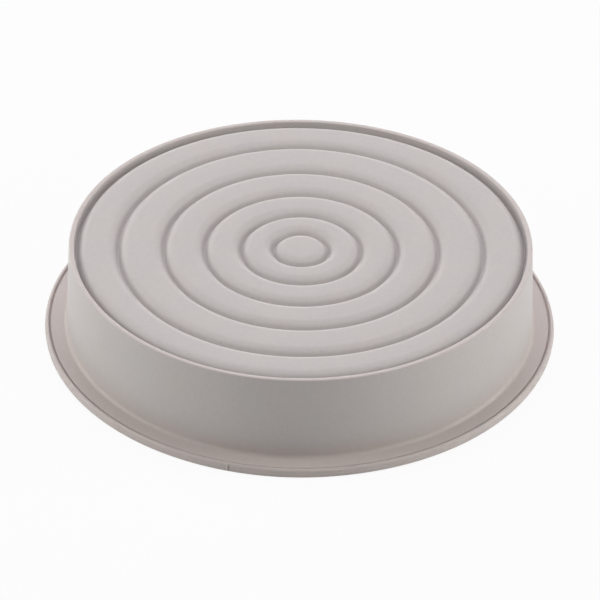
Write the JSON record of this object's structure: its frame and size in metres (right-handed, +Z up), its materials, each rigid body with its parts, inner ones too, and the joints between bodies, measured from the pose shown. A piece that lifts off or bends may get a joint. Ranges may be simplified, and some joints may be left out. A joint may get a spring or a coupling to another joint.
{
  "type": "silicone cake mould",
  "caption": "Round flexible cake mould shown upside down: rippled base with concentric grooves, drafted wall, flat rim with a creased bead over an embedded steel hoop.",
  "frame": {"origin": "centre of the rim face, on the surface that the upturned mould stands on", "axes": "+Z up along the mould's axis, out of the base; X and Y level"},
  "size_m": [0.288, 0.288, 0.0562],
  "materials": {
    "silicone": "matte moulded silicone, pale warm grey",
    "hoop_steel": "drawn stainless wire"
  },
  "bodies": {
    "root": {"mould_body": "silicone", "rim_hoop": "hoop_steel"}
  },
  "joints": []
}
